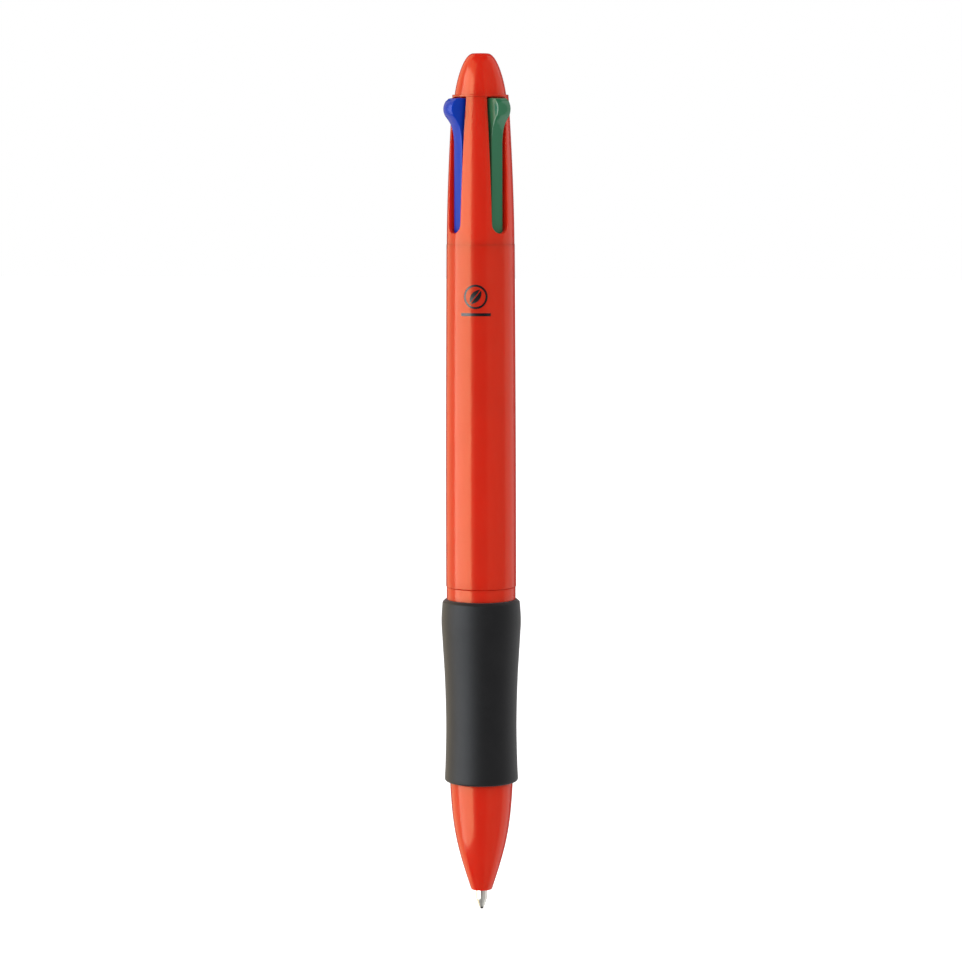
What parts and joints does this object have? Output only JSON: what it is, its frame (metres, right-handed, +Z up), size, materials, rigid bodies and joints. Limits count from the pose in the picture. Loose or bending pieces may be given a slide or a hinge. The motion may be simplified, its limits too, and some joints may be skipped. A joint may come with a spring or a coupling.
{
  "type": "multicolor click pen",
  "caption": "Retractable pen with a slotted slider housing, colour-coded push sliders, sprung refills, a turned barrel, a tapered nose and a rubber grip.",
  "frame": {"origin": "lowest point of the writing ball that is out, on the pen's axis", "axes": "+Z up the pen's axis from the point to the crown; -Y is the rib between the blue and green slots, +X is the rib between green and black"},
  "size_m": [0.0136, 0.0136, 0.1471],
  "materials": {
    "casing_plastic": "glossy moulded orange-red plastic",
    "grip_rubber": "matte soft-touch rubber, near black",
    "guide_plastic": "plain moulded off-white plastic",
    "blue_plastic": "satin-gloss moulded blue plastic",
    "green_plastic": "satin-gloss moulded green plastic",
    "red_plastic": "satin-gloss moulded red plastic",
    "black_plastic": "satin-gloss moulded black plastic",
    "spring_steel": "drawn spring wire",
    "refill_tube": "milky translucent polypropylene",
    "blue_ink": "ink paste, blue",
    "green_ink": "ink paste, green",
    "red_ink": "ink paste, red",
    "black_ink": "ink paste, black",
    "point_metal": "turned and plated point",
    "ball_metal": "ground hard-metal ball"
  },
  "bodies": {
    "casing": {"crown_cap": "casing_plastic", "slider_housing": "casing_plastic", "main_barrel": "casing_plastic", "nose_section": "casing_plastic", "grip_sleeve": "grip_rubber", "guide_disc": "guide_plastic", "blue_return_spring": "spring_steel", "green_return_spring": "spring_steel", "red_return_spring": "spring_steel", "black_return_spring": "spring_steel"},
    "blue_refill": {"blue_refill_tube": "refill_tube", "blue_ink": "blue_ink"},
    "blue_push": {"blue_slider": "blue_plastic"},
    "blue_point": {"blue_refill_point": "point_metal", "blue_writing_ball": "ball_metal"},
    "green_refill": {"green_refill_tube": "refill_tube", "green_ink": "green_ink"},
    "green_push": {"green_slider": "green_plastic"},
    "green_point": {"green_refill_point": "point_metal", "green_writing_ball": "ball_metal"},
    "red_refill": {"red_refill_tube": "refill_tube", "red_ink": "red_ink"},
    "red_push": {"red_slider": "red_plastic"},
    "red_point": {"red_refill_point": "point_metal", "red_writing_ball": "ball_metal"},
    "black_refill": {"black_refill_tube": "refill_tube", "black_ink": "black_ink"},
    "black_push": {"black_slider": "black_plastic"},
    "black_point": {"black_refill_point": "point_metal", "black_writing_ball": "ball_metal"}
  },
  "joints": [
    {"name": "blue_press", "type": "slide", "parent": "casing", "child": "blue_refill", "axis": [0, 0, -1], "range_m": [0, 0.014], "stiffness_N_per_m": 100, "deforming": ["blue_return_spring"]},
    {"name": "blue_lean", "type": "hinge", "parent": "blue_refill", "child": "blue_push", "pos_m": [-0.00233, -0.00233, 0.11205], "axis": [-0.7071, 0.7071, 0], "range_deg": [0, 2]},
    {"name": "blue_steer", "type": "slide", "parent": "blue_refill", "child": "blue_point", "axis": [0.7071, 0.7071, 0], "range_m": [0, 0.00216], "deforming": ["blue_refill_tube", "blue_ink", "blue_refill_point", "blue_writing_ball"]},
    {"name": "green_press", "type": "slide", "parent": "casing", "child": "green_refill", "axis": [0, 0, -1], "range_m": [0, 0.014], "stiffness_N_per_m": 100, "deforming": ["green_return_spring"]},
    {"name": "green_lean", "type": "hinge", "parent": "green_refill", "child": "green_push", "pos_m": [0.00233, -0.00233, 0.11205], "axis": [-0.7071, -0.7071, 0], "range_deg": [0, 2]},
    {"name": "green_steer", "type": "slide", "parent": "green_refill", "child": "green_point", "axis": [-0.7071, 0.7071, 0], "range_m": [0, 0.00216], "deforming": ["green_refill_tube", "green_ink", "green_refill_point", "green_writing_ball"]},
    {"name": "red_press", "type": "slide", "parent": "casing", "child": "red_refill", "axis": [0, 0, -1], "range_m": [0, 0.014], "stiffness_N_per_m": 100, "deforming": ["red_return_spring"]},
    {"name": "red_lean", "type": "hinge", "parent": "red_refill", "child": "red_push", "pos_m": [-0.00233, 0.00233, 0.11205], "axis": [0.7071, 0.7071, 0], "range_deg": [0, 2]},
    {"name": "red_steer", "type": "slide", "parent": "red_refill", "child": "red_point", "axis": [0.7071, -0.7071, 0], "range_m": [0, 0.00216], "deforming": ["red_refill_tube", "red_ink", "red_refill_point", "red_writing_ball"]},
    {"name": "black_press", "type": "slide", "parent": "casing", "child": "black_refill", "axis": [0, 0, -1], "range_m": [-0.014, 0], "deforming": ["black_return_spring"]},
    {"name": "black_lean", "type": "hinge", "parent": "black_refill", "child": "black_push", "pos_m": [0.00233, 0.00233, 0.09805], "axis": [0.7071, -0.7071, 0], "range_deg": [-2, 0]},
    {"name": "black_steer", "type": "slide", "parent": "black_refill", "child": "black_point", "axis": [-0.7071, -0.7071, 0], "range_m": [-0.00216, 0], "deforming": ["black_refill_tube", "black_ink"]}
  ],
  "couplings": [
    {"joint": "blue_lean", "follows": "blue_press", "rad_per_m": 2.49},
    {"joint": "blue_steer", "follows": "blue_press", "ratio": 0.15357},
    {"joint": "green_lean", "follows": "green_press", "rad_per_m": 2.49},
    {"joint": "green_steer", "follows": "green_press", "ratio": 0.15357},
    {"joint": "red_lean", "follows": "red_press", "rad_per_m": 2.49},
    {"joint": "red_steer", "follows": "red_press", "ratio": 0.15357},
    {"joint": "black_lean", "follows": "black_press", "rad_per_m": 2.49},
    {"joint": "black_steer", "follows": "black_press", "ratio": 0.15357}
  ]
}
